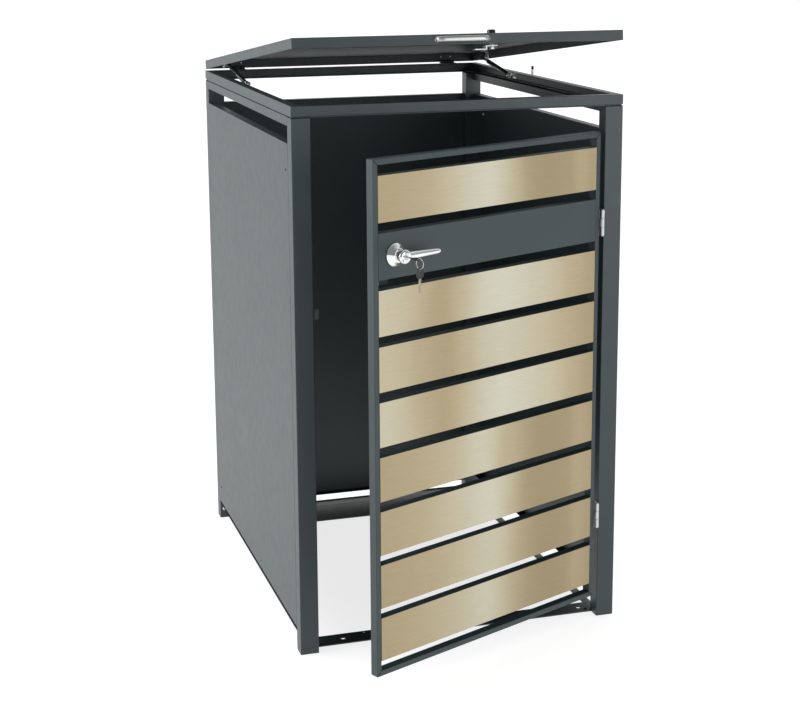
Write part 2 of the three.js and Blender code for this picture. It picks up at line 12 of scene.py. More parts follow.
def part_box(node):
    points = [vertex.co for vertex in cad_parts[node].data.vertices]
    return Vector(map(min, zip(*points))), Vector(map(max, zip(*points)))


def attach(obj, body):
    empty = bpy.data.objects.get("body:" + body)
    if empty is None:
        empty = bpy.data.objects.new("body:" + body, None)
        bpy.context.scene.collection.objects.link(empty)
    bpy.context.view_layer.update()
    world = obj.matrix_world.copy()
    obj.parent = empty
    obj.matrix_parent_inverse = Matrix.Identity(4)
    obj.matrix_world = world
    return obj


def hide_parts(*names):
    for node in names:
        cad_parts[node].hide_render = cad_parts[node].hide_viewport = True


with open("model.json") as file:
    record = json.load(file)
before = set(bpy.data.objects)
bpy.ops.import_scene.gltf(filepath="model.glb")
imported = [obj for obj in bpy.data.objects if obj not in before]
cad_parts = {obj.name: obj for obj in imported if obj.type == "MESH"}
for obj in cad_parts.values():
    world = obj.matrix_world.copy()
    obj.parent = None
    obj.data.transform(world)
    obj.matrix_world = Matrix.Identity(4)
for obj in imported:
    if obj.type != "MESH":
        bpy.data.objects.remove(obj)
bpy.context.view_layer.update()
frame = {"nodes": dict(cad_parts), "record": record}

MM = 0.001
NODES = frame["nodes"]
JOINTS = {joint["name"]: joint for joint in frame["record"]["behaviour"]["joints"]}
SLOT_OF = {part["node"]: part["material_slot"] for part in frame["record"]["subparts"]}


# ---- Frames that the moving parts are built in --------------------------------------------
def axes_at(origin, x, z):
    """A frame with its origin and x and z directions in the row's frame."""
    x, z = Vector(x).normalized(), Vector(z).normalized()
    y = z.cross(x)
    return Matrix.Translation(Vector(origin)) @ Matrix((x, y, z)).transposed().to_4x4()


HINGE = Vector(JOINTS["door_hinge"]["pos_m"])
LOCK_AXIS = -Vector(JOINTS["lever_turn"]["axis"])
ALONG_DOOR = Vector((-LOCK_AXIS.y, LOCK_AXIS.x, 0))
LOCK = axes_at(JOINTS["lever_turn"]["pos_m"], ALONG_DOOR, LOCK_AXIS)  # z comes out of the door
LID_UP = Vector(JOINTS["lid_lock_turn"]["axis"])
LID = axes_at(JOINTS["lid_hinge"]["pos_m"], (1, 0, 0), LID_UP)  # z out of the lid, y to the back
DOOR = axes_at((HINGE.x, HINGE.y, 0), ALONG_DOOR, (0, 0, 1))  # x along the door, y into the housing


def local_box(node, place):
    """Lowest and highest corners of a CAD node in one of those frames."""
    inverse = place.inverted()
    points = [inverse @ v.co for v in NODES[node].data.vertices]
    low = Vector([min(p[i] for p in points) for i in range(3)])
    high = Vector([max(p[i] for p in points) for i in range(3)])
    return low, high


# ---- Materials ----------------------------------------------------------------------------
def material(name):
    mat = bpy.data.materials.new(name)
    mat.use_nodes = True
    tree = mat.node_tree
    return mat, tree, tree.nodes["Principled BSDF"]


def add_node(tree, kind, inputs=None, **settings):
    node = tree.nodes.new(kind)
    for key, value in settings.items():
        setattr(node, key, value)
    for key, value in (inputs or {}).items():
        node.inputs[key].default_value = value
    return node


def object_space(tree, scale=(1, 1, 1)):
    coord = add_node(tree, "ShaderNodeTexCoord")
    mapping = add_node(tree, "ShaderNodeMapping", {"Scale": scale})
    tree.links.new(coord.outputs["Object"], mapping.inputs["Vector"])
    return mapping.outputs["Vector"]


def noise(tree, vector, scale, detail=3.0, rough=0.5):
    node = add_node(tree, "ShaderNodeTexNoise", {"Scale": scale, "Detail": detail, "Roughness": rough})
    tree.links.new(vector, node.inputs["Vector"])
    return node.outputs["Fac"]


def ramp(tree, fac, stops, interpolation="LINEAR"):
    node = add_node(tree, "ShaderNodeValToRGB")
    node.color_ramp.interpolation = interpolation
    while len(node.color_ramp.elements) < len(stops):
        node.color_ramp.elements.new(0.5)
    for element, (position, color) in zip(node.color_ramp.elements, stops):
        element.position = position
        element.color = (*color, 1)
    tree.links.new(fac, node.inputs["Fac"])
    return node.outputs["Color"]


def bump(tree, shader, height, strength, distance):
    node = add_node(tree, "ShaderNodeBump", {"Strength": strength, "Distance": distance})
    tree.links.new(height, node.inputs["Height"])
    tree.links.new(node.outputs["Normal"], shader.inputs["Normal"])


def grey(value):
    return (value, value, value)


def facing_down(tree):
    """1 on faces that look down, 0 on upright and upper faces."""
    normal = add_node(tree, "ShaderNodeNewGeometry").outputs["True Normal"]
    split = add_node(tree, "ShaderNodeSeparateXYZ")
    tree.links.new(normal, split.inputs["Vector"])
    limit = add_node(tree, "ShaderNodeMapRange", {"From Min": -0.4, "From Max": -0.8})
    tree.links.new(split.outputs["Z"], limit.inputs["Value"])
    return limit.outputs["Result"]


def shaded(color, share):
    return [channel * share for channel in color]


def powder_coat(name, base):
    """Anthracite powder coat: a fine orange-peel grain, faint mottling and a soft sheen, with painted shade
    on faces that look down.
    """
    mat, tree, shader = material(name)
    vector = object_space(tree)
    mottle = noise(tree, vector, 7.0, 4.0)
    tone = ramp(tree, mottle, [(0.35, shaded(base, 0.95)), (0.65, shaded(base, 1.05))])
    below = facing_down(tree)  # faces that look down get painted shade: a darker base colour and a lower specular level
    underside_shade = add_node(tree, "ShaderNodeMixRGB", {"Color2": (*shaded(base, 0.35), 1)})
    tree.links.new(below, underside_shade.inputs["Fac"])
    tree.links.new(tone, underside_shade.inputs["Color1"])
    tree.links.new(underside_shade.outputs["Color"], shader.inputs["Base Color"])
    gloss = add_node(tree, "ShaderNodeMapRange", {"To Min": 0.5, "To Max": 0.12})
    tree.links.new(below, gloss.inputs["Value"])
    tree.links.new(gloss.outputs["Result"], shader.inputs["Specular IOR Level"])
    rough = ramp(tree, noise(tree, vector, 45.0), [(0.3, grey(0.42)), (0.7, grey(0.46))])
    tree.links.new(rough, shader.inputs["Roughness"])
    bump(tree, shader, noise(tree, vector, 1400.0, 2.0), 0.06, 0.0002)
    return mat


# Painted reflection along a slat from the door's free edge (0) to its hinge side (1): two patterns of
# reflected bright and dark bands in different places, each 0 for the deepest tone and 1 for the palest.
RISING_REFLECTION_BANDS = [
    (0.0, 0.2), (0.2, 0.36), (0.36, 0.7), (0.48, 1.0), (0.57, 0.62), (0.66, 0.14), (0.76, 0.0),
    (0.88, 0.08), (0.93, 0.36), (1.0, 0.12),
]
FALLING_REFLECTION_BANDS = [
    (0.0, 0.72), (0.08, 0.7), (0.2, 0.3), (0.28, 0.16), (0.38, 0.46), (0.5, 1.0), (0.6, 0.86),
    (0.75, 0.72), (0.86, 0.46), (1.0, 0.12),
]
SLAT_LOOKS = {  # painted reflection bands and their overall strength on each slat, from the top
    1: (RISING_REFLECTION_BANDS, 1.0),
    3: (FALLING_REFLECTION_BANDS, 1.0),
    4: (FALLING_REFLECTION_BANDS, 0.86),
    5: (FALLING_REFLECTION_BANDS, 1.06),
    6: (RISING_REFLECTION_BANDS, 0.92),
    7: (RISING_REFLECTION_BANDS, 1.06),
    8: (RISING_REFLECTION_BANDS, 0.88),
    9: (RISING_REFLECTION_BANDS, 0.94),
}
# champagne tones of the painted reflection: PALE at its brightest bands, DEEP at its darkest
PALE, MID, DEEP = (0.70, 0.69, 0.565), (0.55, 0.455, 0.275), (0.375, 0.295, 0.165)
BAND_DRIFT = 0.09  # how far the painted reflection bands wander sideways, as a share of the slat's length


def champagne_sheet(name, number):
    """Brushed champagne-toned sheet with a fine grain; its soft upright bright and dark bands are painted
    reflection.
    """
    mat, tree, shader = material(name)
    bands, strength = SLAT_LOOKS[number]
    place = add_node(tree, "ShaderNodeTexCoord").outputs["Object"]
    turn = (0, 0, math.atan2(ALONG_DOOR.y, ALONG_DOOR.x))
    to_door = add_node(tree, "ShaderNodeMapping", vector_type="TEXTURE")
    to_door.inputs["Location"].default_value = HINGE
    to_door.inputs["Rotation"].default_value = turn
    tree.links.new(place, to_door.inputs["Vector"])
    split = add_node(tree, "ShaderNodeSeparateXYZ")
    tree.links.new(to_door.outputs["Vector"], split.inputs["Vector"])
    low, high = local_box(f"slat_{number}", DOOR)
    along = add_node(tree, "ShaderNodeMapRange", {"From Min": low.x, "From Max": high.x})
    tree.links.new(split.outputs["X"], along.inputs["Value"])

    drift_place = add_node(tree, "ShaderNodeMapping")
    drift_place.inputs["Location"].default_value = (number * 0.37, 0, number * 0.73)
    drift_place.inputs["Scale"].default_value = (1.0, 0.05, 0.35)
    tree.links.new(to_door.outputs["Vector"], drift_place.inputs["Vector"])
    drift = noise(tree, drift_place.outputs["Vector"], 6.0, 2.0, 0.5)
    nudge = add_node(tree, "ShaderNodeMapRange", {"To Min": -BAND_DRIFT, "To Max": BAND_DRIFT})
    tree.links.new(drift, nudge.inputs["Value"])
    moved = add_node(tree, "ShaderNodeMath", operation="ADD")
    tree.links.new(along.outputs["Result"], moved.inputs[0])
    tree.links.new(nudge.outputs["Result"], moved.inputs[1])

    def tone_at(level):
        level = min(1.0, level * strength)
        if level > 0.5:
            return [m + (p - m) * (level - 0.5) * 2 for m, p in zip(MID, PALE)]
        return [d + (m - d) * level * 2 for d, m in zip(DEEP, MID)]

    # painted reflection: bright and dark bands worked into the champagne base colour
    tone = ramp(tree, moved.outputs["Value"], [(at, tone_at(level)) for at, level in bands], "B_SPLINE")
    grain_place = add_node(tree, "ShaderNodeMapping")
    grain_place.inputs["Scale"].default_value = (0.03, 1.0, 1.0)
    grain_place.inputs["Location"].default_value = (number * 0.2, 0, number * 0.5)
    tree.links.new(to_door.outputs["Vector"], grain_place.inputs["Vector"])
    grain = noise(tree, grain_place.outputs["Vector"], 700.0, 4.0, 0.65)
    streak = ramp(tree, grain, [(0.3, grey(0.86)), (0.7, grey(1.0))])
    mix = add_node(tree, "ShaderNodeMixRGB", {"Fac": 1.0}, blend_type="MULTIPLY")
    tree.links.new(tone, mix.inputs["Color1"])
    tree.links.new(streak, mix.inputs["Color2"])
    tree.links.new(mix.outputs["Color"], shader.inputs["Base Color"])
    rough = ramp(tree, grain, [(0.3, grey(0.52)), (0.7, grey(0.64))])
    tree.links.new(rough, shader.inputs["Roughness"])
    bump(tree, shader, grain, 0.10, 0.0003)
    shader.inputs["Metallic"].default_value = 0.2
    return mat


def bare_metal(name, base, low, high, grain_scale, metallic=1.0, stretch=(1, 1, 1)):
    """Bare or plated metal: brushed or cast grain in the roughness and a faint colour change."""
    mat, tree, shader = material(name)
    vector = object_space(tree, stretch)
    grain = noise(tree, vector, grain_scale, 4.0)
    tone = ramp(tree, grain, [(0.3, shaded(base, 0.88)), (0.7, base)])
    tree.links.new(tone, shader.inputs["Base Color"])
    rough = ramp(tree, grain, [(0.25, grey(low)), (0.75, grey(high))])
    tree.links.new(rough, shader.inputs["Roughness"])
    bump(tree, shader, grain, 0.06, 0.0002)
    shader.inputs["Metallic"].default_value = metallic
    return mat


def moulded(name, base, rough_low, rough_high):
    """Black plastic or rubber with a fine pebbled surface."""
    mat, tree, shader = material(name)
    vector = object_space(tree)
    pebble = noise(tree, vector, 900.0, 2.0)
    wear = noise(tree, vector, 40.0, 3.0)
    tone = ramp(tree, wear, [(0.3, base), (0.75, shaded(base, 1.5))])
    tree.links.new(tone, shader.inputs["Base Color"])
    rough = ramp(tree, wear, [(0.3, grey(rough_low)), (0.7, grey(rough_high))])
    tree.links.new(rough, shader.inputs["Roughness"])
    bump(tree, shader, pebble, 0.2, 0.0003)
    return mat


COAT = powder_coat("anthracite_coat", (0.029, 0.045, 0.049))
STEEL = bare_metal("brushed_stainless", (0.50, 0.51, 0.50), 0.30, 0.46, 300.0, 1.0, (0.05, 1, 1))
ZINC = bare_metal("zinc_plate", (0.62, 0.63, 0.64), 0.28, 0.48, 120.0)
CHROME = bare_metal("polished_chrome", (0.86, 0.87, 0.88), 0.04, 0.12, 25.0)
ROD_CHROME = bare_metal("ground_rod", (0.62, 0.63, 0.64), 0.10, 0.20, 400.0, 1.0, (1, 0.03, 1))
BLACK_ROD = bare_metal("black_nitrided_rod", (0.06, 0.06, 0.065), 0.20, 0.32, 400.0, 1.0, (1, 0.03, 1))
DARK_STEEL = bare_metal("blackened_steel", (0.055, 0.06, 0.065), 0.35, 0.5, 150.0, 0.6)
PLASTIC = moulded("black_plastic", (0.012, 0.013, 0.014), 0.35, 0.5)
RUBBER = moulded("black_rubber", (0.016, 0.016, 0.016), 0.65, 0.85)
LACQUER = moulded("black_lacquer", (0.010, 0.011, 0.012), 0.18, 0.30)
PAD_GREY = moulded("grey_rubber", (0.075, 0.078, 0.080), 0.6, 0.8)
NICKEL = bare_metal("worn_nickel", (0.34, 0.32, 0.27), 0.30, 0.45, 200.0)


# ---- Building pieces ----------------------------------------------------------------------
def new_piece(name, mesh, mat, body, slot, replaces=(), place=None):
    """A finished piece that rides on a CAD body and may stand in for CAD nodes."""
    if place is not None:
        mesh.transform(place)
    obj = bpy.data.objects.new(name, mesh)
    bpy.context.scene.collection.objects.link(obj)
    obj.data.materials.append(mat)
    mesh.shade_smooth()
    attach(obj, body)
    if replaces:
        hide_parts(*replaces)
    return obj


def mesh_from(name, build):
    mesh = bpy.data.meshes.new(name)
    bm = bmesh.new()
    build(bm)
    bmesh.ops.recalc_face_normals(bm, faces=bm.faces)
    bm.to_mesh(mesh)
    bm.free()
    return mesh


def soften(obj, width, segments=3, angle=35):
    """Rounds an object's sharp edges."""
    bevel = obj.modifiers.new("rounded_edges", "BEVEL")
    bevel.width = width
    bevel.segments = segments
    bevel.limit_method = "ANGLE"
    bevel.angle_limit = math.radians(angle)
    bevel.harden_normals = True
    return obj


def block_piece(name, low, high, mat, body, place=None, edge=0.5 * MM, **options):
    """A box between two corners with rounded edges."""
    def build(bm):
        bmesh.ops.create_cube(bm, size=1)
        for v in bm.verts:
            v.co = Vector([low[i] + (v.co[i] + 0.5) * (high[i] - low[i]) for i in range(3)])
    obj = new_piece(name, mesh_from(name, build), mat, body, place=place, **options)
    return soften(obj, edge)


def skin(bm, rings):
    """Joins each ring of points to the next and closes both ends."""
    for a, b in zip(rings, rings[1:]):
        m = len(a)
        for i in range(m):
            bm.faces.new((a[i], a[(i + 1) % m], b[(i + 1) % m], b[i]))
    bm.faces.new(rings[0])
    bm.faces.new(list(reversed(rings[-1])))


def lathe_mesh(name, profile, segments=48):
    """A turned solid about z from (radius, height) pairs."""
    def build(bm):
        rings = []
        for radius, height in profile:
            if radius < 1e-7:
                rings.append([bm.verts.new((0, 0, height))])
                continue
            turn = [2 * math.pi * i / segments for i in range(segments)]
            rings.append([bm.verts.new((radius * math.cos(t), radius * math.sin(t), height)) for t in turn])
        for a, b in zip(rings, rings[1:]):
            for i in range(segments):
                j = (i + 1) % segments
                if len(a) == 1:
                    bm.faces.new((a[0], b[j], b[i]))
                elif len(b) == 1:
                    bm.faces.new((a[i], a[j], b[0]))
                else:
                    bm.faces.new((a[i], a[j], b[j], b[i]))
    return mesh_from(name, build)


def rod_profile(radius, low, high):
    """Half the outline of a plain rod, for a turned piece."""
    return [(0, low), (radius, low), (radius, high), (0, high)]


def turned_piece(name, profile, mat, body, place, edge=0.4 * MM, segments=48, **options):
    obj = new_piece(name, lathe_mesh(name, profile, segments), mat, body, place=place, **options)
    return soften(obj, edge, 2, 40)


def sweep_mesh(name, path, section):
    """Sections, each a list of points in the plane across the path, joined into a closed rod."""
    def build(bm):
        rings = []
        last = len(path) - 1
        for i, point in enumerate(path):
            forward = (path[min(i + 1, last)] - path[max(i - 1, 0)]).normalized()
            side = forward.cross(Vector((0, 0, 1)))
            side = side.normalized() if side.length > 1e-6 else Vector((1, 0, 0))
            up = side.cross(forward)
            rings.append([bm.verts.new(point + side * a + up * b) for a, b in section(i / last)])
        skin(bm, rings)
    return mesh_from(name, build)


def oval(width, height, sides=20):
    turn = [2 * math.pi * i / sides for i in range(sides)]
    return [(width * math.cos(t), height * math.sin(t)) for t in turn]


# ---- Housing, door and lid sheets: the CAD nodes with rounded edges --------------------------
EDGE = {  # how far the edges are rounded, by the start of the node's name
    "post_": 2.2 * MM,
    "side_panel": 0.5 * MM,
    "back_panel": 0.5 * MM,
    "upper_rail": 1.2 * MM,
    "top_frame": 0.9 * MM,
    "floor_": 0.6 * MM,
    "door_rail": 1.6 * MM,
    "door_stile": 1.6 * MM,
    "lock_slat": 0.6 * MM,
    "lid_pan": 0.5 * MM,
}
OTHER_EDGE = 0.35 * MM
WELD_REACH = 0.00002
MATERIAL_OF_SLOT = {"anthracite": COAT, "bare_steel": ZINC, "chrome": CHROME, "black": PLASTIC}


def finish_nodes():
    """Rounds each node's edges and gives it its material; the slats get pieces of their own."""
    for name, obj in NODES.items():
        mat = MATERIAL_OF_SLOT.get(SLOT_OF[name])
        if mat is None:
            continue
        if name.startswith(("lid_hinge", "door_stop")):
            mat = DARK_STEEL if name != "door_stop_pad" else PAD_GREY
        obj.data.materials.clear()
        obj.data.materials.append(mat)
        edge = next((width for start, width in EDGE.items() if name.startswith(start)), OTHER_EDGE)
        weld = obj.modifiers.new("joined_corners", "WELD")
        weld.merge_threshold = WELD_REACH
        soften(obj, edge)


finish_nodes()

# ---- Slats: a dark channel with a champagne facing on its front ------------------------------
FACING = 0.9 * MM  # thickness of the champagne sheet
CHANNEL_WALL = 1.5 * MM
FACING_MARGIN = Vector((0, 0, 0.4 * MM))  # dark sheet left above and below the facing


def channel_mesh(name, low, high):
    """A folded channel, open to the back, from its box's corners in the door's frame."""
    front, back, wall = low.y + FACING, high.y, CHANNEL_WALL
    outline = [
        (back, low.z), (front, low.z), (front, high.z), (back, high.z),
        (back, high.z - wall), (front + wall, high.z - wall),
        (front + wall, low.z + wall), (back, low.z + wall),
    ]

    def build(bm):
        skin(bm, [[bm.verts.new((x, y, z)) for y, z in outline] for x in (low.x, high.x)])
    return mesh_from(name, build)


def add_slat(slat):
    number = int(slat.split("_")[1])
    low, high = local_box(slat, DOOR)
    name = f"{slat}_channel"
    channel = new_piece(name, channel_mesh(name, low, high), COAT, "door", slot="anthracite", place=DOOR)
    soften(channel, 0.4 * MM, 2)
    front_high = Vector((high.x, low.y + FACING, high.z)) - FACING_MARGIN
    sheet = champagne_sheet(f"champagne_{number}", number)
    block_piece(f"{slat}_facing", low + FACING_MARGIN, front_high, sheet, "door", DOOR, 0.3 * MM,
                slot="champagne", replaces=[slat])


for slat in [name for name in NODES if name.startswith("slat_")]:
    add_slat(slat)


# ---- Lock: rosette, lever, key, ring and spare key -------------------------------------------
GRIP_TALL, GRIP_DEEP = 9.0, 6.2  # half sizes of the grip's oval at the hub, in millimetres
GRIP_TALL_TAPER, GRIP_DEEP_TAPER = 4.2, 2.6  # what each loses along the grip
ROUNDED_FROM, ROUNDED_SHARE, BLUNT = 0.9, 0.1, 0.12  # where the end is rounded, and its smallest size


def lever_sections(t):
    """The grip's oval, taller than it is deep, from the hub (0) to the rounded end (1)."""
    tall, deep = GRIP_TALL - GRIP_TALL_TAPER * t, GRIP_DEEP - GRIP_DEEP_TAPER * t
    if t > ROUNDED_FROM:
        end = max(BLUNT, math.sqrt(max(0.0, 1 - ((t - ROUNDED_FROM) / ROUNDED_SHARE) ** 2)))
        tall, deep = tall * end, deep * end
    return oval(tall * MM, deep * MM)


def add_lock():
    face = local_box("lock_rosette", LOCK)[1].z
    turned_piece("lock_rosette_dome", [
        (0, 0.3 * MM), (24 * MM, 0.3 * MM), (24 * MM, 1.6 * MM), (23.2 * MM, 3.2 * MM), (19.5 * MM, 6 * MM),
        (16.0 * MM, 10 * MM), (14.2 * MM, face - 1.0 * MM), (13.0 * MM, face), (0, face),
    ], CHROME, "door", LOCK, 0.7 * MM, 72, slot="chrome", replaces=["lock_rosette"])

    low, high = local_box("lock_lever", LOCK)
    top, base = high.z, face + 0.3 * MM
    turned_piece("lever_hub", [
        (0, base), (11 * MM, base), (11 * MM, top - 11 * MM), (13.2 * MM, top - 9.4 * MM),
        (14.6 * MM, top - 6.5 * MM), (14.4 * MM, top - 3.6 * MM), (12.6 * MM, top - 1.4 * MM),
        (10 * MM, top - 0.2 * MM), (6.2 * MM, top), (5.4 * MM, top - 0.9 * MM), (0, top - 0.9 * MM),
    ], CHROME, "lever", LOCK, 0.3 * MM, 64, slot="chrome", replaces=["lock_lever"])
    grip_end = high.x - 0.4 * MM
    middle = top - 6.6 * MM
    steps = 40
    sag = 1.2 * MM
    shares = [i / steps for i in range(steps + 1)]
    path = [Vector((grip_end * t, 0, middle - sag * math.sin(math.pi * t))) for t in shares]
    new_piece("lever_grip", sweep_mesh("lever_grip", path, lever_sections), CHROME, "lever",
              slot="chrome", place=LOCK)
    turned_piece("lever_spindle", rod_profile(5 * MM, low.z, base),
                 ZINC, "lever", LOCK, 0.3 * MM, 32, slot="bare_steel")
    turned_piece("cam_nut", rod_profile(7.5 * MM, low.z - 4 * MM, low.z - 0.2 * MM),
                 ZINC, "lever", LOCK, 0.8 * MM, 6, slot="bare_steel")


KEY_HALF_BOW, KEY_BOW, KEY_NECK = 9 * MM, 22 * MM, 5 * MM  # head's half width, its height, its neck
KEY_HOLE, KEY_RIM = 4 * MM, 2 * MM  # radius of the head's hole, and the rim above it
KEY_STAND = 16 * MM  # the head's foot above the lever's hub
BLADE_THICK, BOW_THICK = 1.8 * MM, 2.4 * MM
HOLE_HEIGHT = KEY_BOW - KEY_HOLE - KEY_RIM


def blade_outline(blade, half, teeth):
    """A key's blade below its shoulder, with its teeth cut along one edge."""
    points = [(-half, 4 * MM), (-half, -blade + 2 * MM), (-half * 0.3, -blade), (half, -blade + 3 * MM)]
    for i in range(teeth):
        z = -blade + 4.5 * MM + (blade - 9 * MM) * i / teeth
        depth = (1.0 if i % 2 else 1.8) * MM
        points += [(half, z), (half - depth, z + 1.2 * MM), (half - depth, z + 2 * MM), (half, z + 3.2 * MM)]
    return points + [(half, 4 * MM)]


def bow_outline():
    """A key's moulded head: a shield with a round top."""
    half, top = KEY_HALF_BOW * 0.98, KEY_BOW * 0.99
    turns = 24
    arc = [(half * math.cos(math.pi * i / turns), top - half + half * math.sin(math.pi * i / turns))
           for i in range(turns + 1)]
    return [(-3.4 * MM, 0.2 * MM), (3.4 * MM, 0.2 * MM), (half, KEY_NECK)] + arc + [(-half, KEY_NECK)]


def ring_mesh(name, radius, wire, sides=14, turns=64):
    """A closed ring of round wire about z."""
    def build(bm):
        rings = []
        for i in range(turns):
            a = 2 * math.pi * i / turns
            ring = []
            for j in range(sides):
                b = 2 * math.pi * j / sides
                r = radius + wire * math.cos(b)
                ring.append(bm.verts.new((r * math.cos(a), r * math.sin(a), wire * math.sin(b))))
            rings.append(ring)
        for i in range(turns):
            a, b = rings[i], rings[(i + 1) % turns]
            for j in range(sides):
                bm.faces.new((a[j], a[(j + 1) % sides], b[(j + 1) % sides], b[j]))
    return mesh_from(name, build)


def flat_plate(name, outline, thickness, hole=None):
    """A flat plate in the local xz plane, thick along y, with or without a round hole."""
    curve = bpy.data.curves.new(name, "CURVE")
    curve.dimensions = "2D"
    curve.fill_mode = "BOTH"
    edge = 0.25 * MM
    curve.extrude = thickness / 2 - edge
    curve.bevel_depth = edge
    curve.offset = -edge
    curve.bevel_resolution = 2
    loops = [outline]
    if hole:
        x, z, radius = hole
        loops.append([(x + radius * math.cos(math.pi * i / 14), z + radius * math.sin(math.pi * i / 14))
                      for i in range(28)])
    for points in loops:
        spline = curve.splines.new("POLY")
        spline.points.add(len(points) - 1)
        for point, (x, z) in zip(spline.points, points):
            point.co = (x, z, 0, 1)
        spline.use_cyclic_u = True
    holder = bpy.data.objects.new(name, curve)
    mesh = bpy.data.meshes.new_from_object(holder)
    bpy.data.objects.remove(holder)
    mesh.transform(Matrix.Rotation(math.pi / 2, 4, "X"))
    mesh.name = name
    return mesh


def add_keys():
    hub_top = local_box("lock_lever", LOCK)[1].z
    flat = LOCK @ Matrix.Translation((0, 0, hub_top + KEY_STAND))
    blade = flat_plate("lock_key_blade", blade_outline(24 * MM, 2.4 * MM, 0), BLADE_THICK)
    new_piece("lock_key_blade", blade, NICKEL, "key", slot="bare_steel", place=flat)
    bow = flat_plate("lock_key_bow", bow_outline(), BOW_THICK, (0, HOLE_HEIGHT, KEY_HOLE))
    new_piece("lock_key_bow", bow, PLASTIC, "key", slot="black", place=flat, replaces=["lock_key"])
    turned_piece("lock_plug", rod_profile(4.4 * MM, hub_top - 9.8 * MM, hub_top - 0.2 * MM),
                 ZINC, "key", LOCK, 0.4 * MM, 40, slot="bare_steel")

    low, high = local_box("key_ring", LOCK)
    middle = (low + high) / 2
    wire = (high.x - low.x) / 2
    ring = ring_mesh("split_ring", (high.y - low.y) / 2 - wire, wire * 0.95)
    new_piece("split_ring", ring, ZINC, "ring", slot="bare_steel", replaces=["key_ring"],
              place=LOCK @ Matrix.Translation(middle) @ Matrix.Rotation(math.pi / 2, 4, "Y"))
    low, high = local_box("spare_key", LOCK)
    shoulder = high.y - KEY_BOW
    upright = LOCK @ Matrix.Translation((0, shoulder, middle.z)) @ Matrix.Rotation(-math.pi / 2, 4, "X")
    spare = flat_plate("spare_key_blade", blade_outline(shoulder - low.y, 2.5 * MM, 5), BLADE_THICK)
    new_piece("spare_key_blade", spare, NICKEL, "ring", slot="bare_steel", place=upright)
    head = flat_plate("spare_key_bow", bow_outline(), BOW_THICK, (0, HOLE_HEIGHT, KEY_HOLE))
    new_piece("spare_key_bow", head, PLASTIC, "ring", slot="black", place=upright, replaces=["spare_key"])


add_lock()
add_keys()


# ---- Lid: bow handle, turn lock, rest pin --------------------------------------------------
def add_lid_handle():
    low, high = local_box("lid_handle", LID)
    half = (high.x - low.x) / 2
    centre_z = (low.z + high.z) / 2
    skirt, reach = high.y, low.y
    thick, corner, inset = 2.9 * MM, 16 * MM, 6 * MM
    outer = reach + thick
    path = []
    steps = 12
    for i in range(steps + 1):
        a = math.pi / 2 * i / steps
        x = -half + inset + corner * (1 - math.cos(a))
        path.append(Vector((x, skirt + (outer - skirt) * math.sin(a), centre_z)))
    path += [Vector((-v.x, v.y, v.z)) for v in reversed(path)]
    height = (high.z - low.z) / 2
    mesh = sweep_mesh("handle_bow", path, lambda t: oval(thick, height * (1 - 0.12 * abs(2 * t - 1)), 24))
    new_piece("handle_bow", mesh, STEEL, "lid", slot="bare_steel", place=LID, replaces=["lid_handle"])
    for side in (-1, 1):
        foot = side * (half - 8 * MM)
        place = LID @ Matrix.Translation((foot, skirt, centre_z)) @ Matrix.Rotation(math.pi / 2, 4, "X")
        turned_piece(f"handle_foot_{'left' if side < 0 else 'right'}",
                     [(0, 0), (6.6 * MM, 0), (6.2 * MM, 2.2 * MM), (4.4 * MM, 3 * MM), (0, 3 * MM)],
                     STEEL, "lid", place, 0.4 * MM, 32, slot="bare_steel")


def add_lid_lock():
    low, high = local_box("lid_lock_knob", LID)
    sheet_top = local_box("lid_pan", LID)[1].z
    centre = Matrix.Translation(((low.x + high.x) / 2, (low.y + high.y) / 2, 0))
    top = high.z
    turned_piece("lid_lock_head", [
        (0, sheet_top + 0.3 * MM), (9 * MM, sheet_top + 0.3 * MM), (9 * MM, top - 2.4 * MM),
        (8.2 * MM, top - 0.8 * MM), (6.6 * MM, top), (4.6 * MM, top), (4.2 * MM, top - 0.8 * MM),
        (0, top - 0.8 * MM),
    ], LACQUER, "lid_lock", LID @ centre, 0.4 * MM, 48, slot="black", replaces=["lid_lock_knob"])
    turned_piece("lid_lock_spindle", rod_profile(5 * MM, low.z, sheet_top - 1.5 * MM),
                 ZINC, "lid_lock", LID @ centre, 0.3 * MM, 32, slot="bare_steel")
    slot_low = (-0.6 * MM, -3.2 * MM, top - 0.9 * MM)
    slot_high = (0.6 * MM, 3.2 * MM, top - 0.55 * MM)
    block_piece("lid_lock_slot", slot_low, slot_high, ZINC, "lid_lock", LID @ centre, 0.1 * MM,
                slot="bare_steel")
    turned_piece("lid_lock_collar", [
        (5.6 * MM, sheet_top - 4.2 * MM), (9.5 * MM, sheet_top - 4.2 * MM), (9.5 * MM, sheet_top - 1.4 * MM),
        (5.6 * MM, sheet_top - 1.4 * MM), (5.6 * MM, sheet_top - 4.2 * MM),
    ], ZINC, "lid", LID @ centre, 0.3 * MM, 6, slot="bare_steel")
    turned_piece("lid_lock_nut", rod_profile(6.4 * MM, low.z - 1 * MM, low.z + 3.4 * MM),
                 ZINC, "lid_lock", LID @ centre, 0.7 * MM, 6, slot="bare_steel")


def add_rest_pin():
    low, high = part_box("lid_rest_pin")
    low, high = Vector(low), Vector(high)
    place = Matrix.Translation(((low.x + high.x) / 2, (low.y + high.y) / 2, low.z))
    tall = high.z - low.z
    turned_piece("rest_pin_stud", rod_profile(2.9 * MM, 0, tall - 6 * MM),
                 ZINC, "enclosure", place, 0.2 * MM, 32, slot="bare_steel")
    turned_piece("rest_pin_cap", [(0, tall - 8 * MM), (3.0 * MM, tall - 8 * MM), (3.0 * MM, tall - 1 * MM),
                                  (2.2 * MM, tall), (0, tall)],
                 RUBBER, "enclosure", place, 0.5 * MM, 32, slot="black", replaces=["lid_rest_pin"])


# ---- Fasteners ------------------------------------------------------------------------------
def facing(place, outwards):
    """A frame at a place whose z axis points outwards."""
    turn = Vector((0, 0, 1)).rotation_difference(Vector(outwards))
    return Matrix.Translation(Vector(place)) @ turn.to_matrix().to_4x4()


